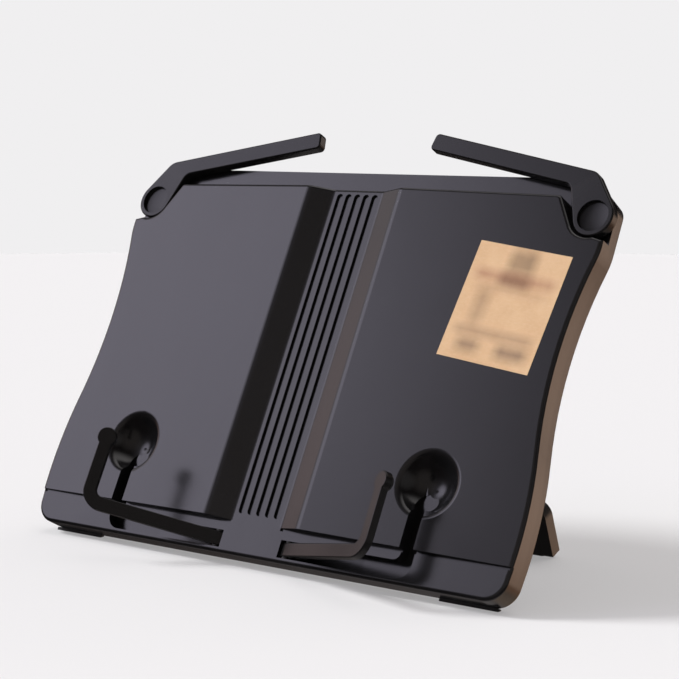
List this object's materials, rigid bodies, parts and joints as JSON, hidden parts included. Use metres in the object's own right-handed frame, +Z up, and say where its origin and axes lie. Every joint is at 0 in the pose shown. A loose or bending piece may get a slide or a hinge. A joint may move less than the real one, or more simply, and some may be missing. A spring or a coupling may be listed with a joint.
{
  "type": "album stand",
  "caption": "Folding album stand: a leaning board with a grooved spine channel, swing-up top arms, fold-out page holders and a T-shaped rear leg.",
  "frame": {"origin": "middle of the footprint box, on the table", "axes": "+X to the right seen from the front, +Y from the front lower edge to the rear leg, +Z up"},
  "size_m": [0.344, 0.1682, 0.2435],
  "materials": {
    "shell_black": "satin moulded black ABS",
    "cover_black": "fine textured black ABS",
    "arm_black": "satin moulded black ABS",
    "leg_black": "fine textured black ABS",
    "washer_nylon": "plain black nylon",
    "tip_rubber": "soft black rubber",
    "pad_rubber": "black rubber",
    "steel": "plain zinc plated steel",
    "kraft": "uncoated kraft paper"
  },
  "bodies": {
    "board": {"front_shell": "shell_black", "back_cover": "cover_black", "shell_screws": "steel", "paper_label": "kraft", "front_pad_left": "pad_rubber", "front_pad_right": "pad_rubber", "top_arm_screws": "steel", "top_arm_washers": "washer_nylon", "holder_pins": "steel", "holder_washers": "washer_nylon", "leg_hinge_bolt": "steel", "leg_hinge_nut": "steel", "leg_washers": "washer_nylon"},
    "leg": {"rear_leg": "leg_black", "foot_pad_left": "pad_rubber", "foot_pad_right": "pad_rubber"},
    "arm_left": {"top_arm_left": "arm_black", "top_arm_cap_left": "arm_black"},
    "holder_left": {"page_holder_left": "arm_black", "holder_tip_left": "tip_rubber"},
    "arm_right": {"top_arm_right": "arm_black", "top_arm_cap_right": "arm_black"},
    "holder_right": {"page_holder_right": "arm_black", "holder_tip_right": "tip_rubber"}
  },
  "joints": [
    {"name": "leg_fold", "type": "hinge", "parent": "board", "child": "leg", "pos_m": [0, 0.03226, 0.12562], "axis": [1, 0, 0], "range_deg": [-49.6, 40.4]},
    {"name": "top_arm_left_swing", "type": "hinge", "parent": "board", "child": "arm_left", "pos_m": [-0.1598, 0.05631, 0.19897], "axis": [0, -0.8808, 0.4735], "range_deg": [-11.5, 78.5]},
    {"name": "page_holder_left_swing", "type": "hinge", "parent": "board", "child": "holder_left", "pos_m": [-0.0254, -0.04495, 0.01408], "axis": [0, 0.4735, 0.8808], "range_deg": [-32.5, 67.5]},
    {"name": "top_arm_right_swing", "type": "hinge", "parent": "board", "child": "arm_right", "pos_m": [0.1598, 0.05631, 0.19897], "axis": [0, 0.8808, -0.4735], "range_deg": [-11.5, 78.5]},
    {"name": "page_holder_right_swing", "type": "hinge", "parent": "board", "child": "holder_right", "pos_m": [0.0254, -0.04495, 0.01408], "axis": [0, -0.4735, -0.8808], "range_deg": [-24.2, 75.8]}
  ]
}
